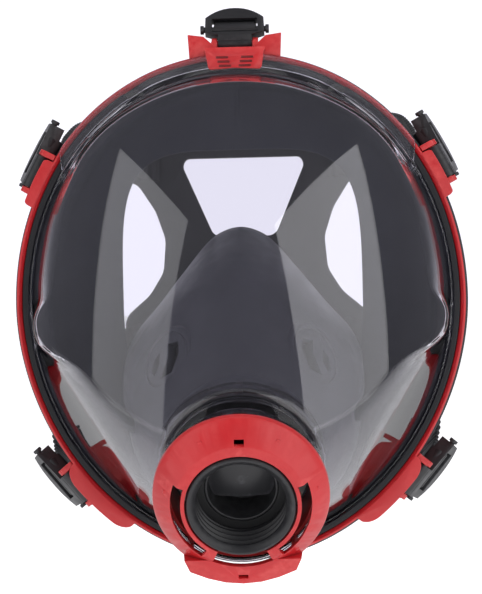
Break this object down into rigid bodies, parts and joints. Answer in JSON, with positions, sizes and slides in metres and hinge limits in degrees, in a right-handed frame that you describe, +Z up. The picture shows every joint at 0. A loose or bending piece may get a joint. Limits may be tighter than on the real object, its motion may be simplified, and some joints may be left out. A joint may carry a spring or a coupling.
{
  "type": "full face respirator",
  "caption": "Panoramic full face respirator: clear visor in a clamping rim, rubber face seal, nose cup, threaded filter connector with valve cover, and a buckled head harness.",
  "frame": {"origin": "middle of the rim plane at the rim's widest level", "axes": "+X to the right seen from the front, -Y the way the wearer looks, +Z up"},
  "size_m": [0.2068, 0.2508, 0.2529],
  "materials": {
    "visor_clear": "clear polished polycarbonate with a faint violet tint",
    "red_plastic": "satin injection moulded red",
    "black_plastic": "fine spark eroded black",
    "grey_plastic": "smooth dark grey",
    "seal_rubber": "matt moulded rubber with a slight bloom",
    "cup_rubber": "soft matt moulded rubber",
    "black_rubber": "plain black seal rubber",
    "harness_rubber": "matt rubber with ribs across the straps",
    "valve_silicone": "translucent silicone",
    "diaphragm_steel": "thin rolled foil"
  },
  "bodies": {
    "mask": {"visor": "visor_clear", "frame_ring": "red_plastic", "top_clip": "red_plastic", "face_seal": "seal_rubber", "nose_cup": "cup_rubber", "check_valve_seat_right": "cup_rubber", "check_valve_seat_left": "cup_rubber", "connector_housing": "black_plastic", "thread_collar": "black_plastic", "filter_gasket": "black_rubber", "inlet_baffle": "grey_plastic", "housing_o_ring": "black_rubber", "inhalation_valve_seat": "black_plastic", "speech_diaphragm": "diaphragm_steel", "diaphragm_ring": "black_plastic", "valve_cover": "red_plastic", "cover_lock_ring": "red_plastic", "harness_pad": "harness_rubber", "strap_top": "harness_rubber", "strap_upper_right": "harness_rubber", "strap_upper_left": "harness_rubber", "strap_lower_right": "harness_rubber", "strap_lower_left": "harness_rubber"},
    "buckle_top": {"buckle_top": "black_plastic"},
    "roller_top": {"roller_top": "black_plastic"},
    "buckle_upper_right": {"buckle_upper_right": "black_plastic"},
    "roller_upper_right": {"roller_upper_right": "black_plastic"},
    "buckle_upper_left": {"buckle_upper_left": "black_plastic"},
    "roller_upper_left": {"roller_upper_left": "black_plastic"},
    "buckle_lower_right": {"buckle_lower_right": "black_plastic"},
    "roller_lower_right": {"roller_lower_right": "black_plastic"},
    "buckle_lower_left": {"buckle_lower_left": "black_plastic"},
    "roller_lower_left": {"roller_lower_left": "black_plastic"},
    "inhalation_valve_disc": {"inhalation_valve_disc": "valve_silicone"},
    "exhalation_valve_disc": {"exhalation_valve_disc": "valve_silicone"},
    "check_valve_disc_right": {"check_valve_disc_right": "black_rubber"},
    "check_valve_disc_left": {"check_valve_disc_left": "black_rubber"}
  },
  "joints": [
    {"name": "buckle_top_hinge", "type": "hinge", "parent": "mask", "child": "buckle_top", "pos_m": [0, 0.004, 0.115], "axis": [1, 0, 0], "range_deg": [-45, 10], "deforming": ["strap_top"]},
    {"name": "roller_top_slide", "type": "slide", "parent": "buckle_top", "child": "roller_top", "axis": [0, 0.2588, 0.9659], "range_m": [0, 0.0012]},
    {"name": "buckle_upper_right_hinge", "type": "hinge", "parent": "mask", "child": "buckle_upper_right", "pos_m": [0.09188, 0.004, 0.05905], "axis": [0.4747, 0, -0.8801], "range_deg": [-8, 45], "deforming": ["strap_upper_right"]},
    {"name": "roller_upper_right_slide", "type": "slide", "parent": "buckle_upper_right", "child": "roller_upper_right", "axis": [0.2426, 0.9613, 0.1308], "range_m": [0, 0.0012]},
    {"name": "buckle_upper_left_hinge", "type": "hinge", "parent": "mask", "child": "buckle_upper_left", "pos_m": [-0.09188, 0.004, 0.05905], "axis": [0.4747, 0, 0.8801], "range_deg": [-8, 45], "deforming": ["strap_upper_left"]},
    {"name": "roller_upper_left_slide", "type": "slide", "parent": "buckle_upper_left", "child": "roller_upper_left", "axis": [-0.2426, 0.9613, 0.1308], "range_m": [0, 0.0012]},
    {"name": "buckle_lower_right_hinge", "type": "hinge", "parent": "mask", "child": "buckle_lower_right", "pos_m": [0.07633, 0.004, -0.084], "axis": [-0.6388, 0, -0.7694], "range_deg": [-8, 45], "deforming": ["strap_lower_right"]},
    {"name": "roller_lower_right_slide", "type": "slide", "parent": "buckle_lower_right", "child": "roller_lower_right", "axis": [0.3373, 0.8988, -0.28], "range_m": [0, 0.0012]},
    {"name": "buckle_lower_left_hinge", "type": "hinge", "parent": "mask", "child": "buckle_lower_left", "pos_m": [-0.07633, 0.004, -0.084], "axis": [-0.6388, 0, 0.7694], "range_deg": [-8, 45], "deforming": ["strap_lower_left"]},
    {"name": "roller_lower_left_slide", "type": "slide", "parent": "buckle_lower_left", "child": "roller_lower_left", "axis": [-0.3373, 0.8988, -0.28], "range_m": [0, 0.0012]},
    {"name": "inhalation_valve_lift", "type": "slide", "parent": "mask", "child": "inhalation_valve_disc", "axis": [0, 0.9205, 0.3907], "range_m": [0, 0.001]},
    {"name": "exhalation_valve_lift", "type": "slide", "parent": "mask", "child": "exhalation_valve_disc", "axis": [0, -0.9205, -0.3907], "range_m": [0, 0.0015]},
    {"name": "check_valve_right_lift", "type": "slide", "parent": "mask", "child": "check_valve_disc_right", "axis": [-0.7198, 0.604, -0.342], "range_m": [0, 0.001]},
    {"name": "check_valve_left_lift", "type": "slide", "parent": "mask", "child": "check_valve_disc_left", "axis": [0.7198, 0.604, -0.342], "range_m": [0, 0.001]}
  ]
}
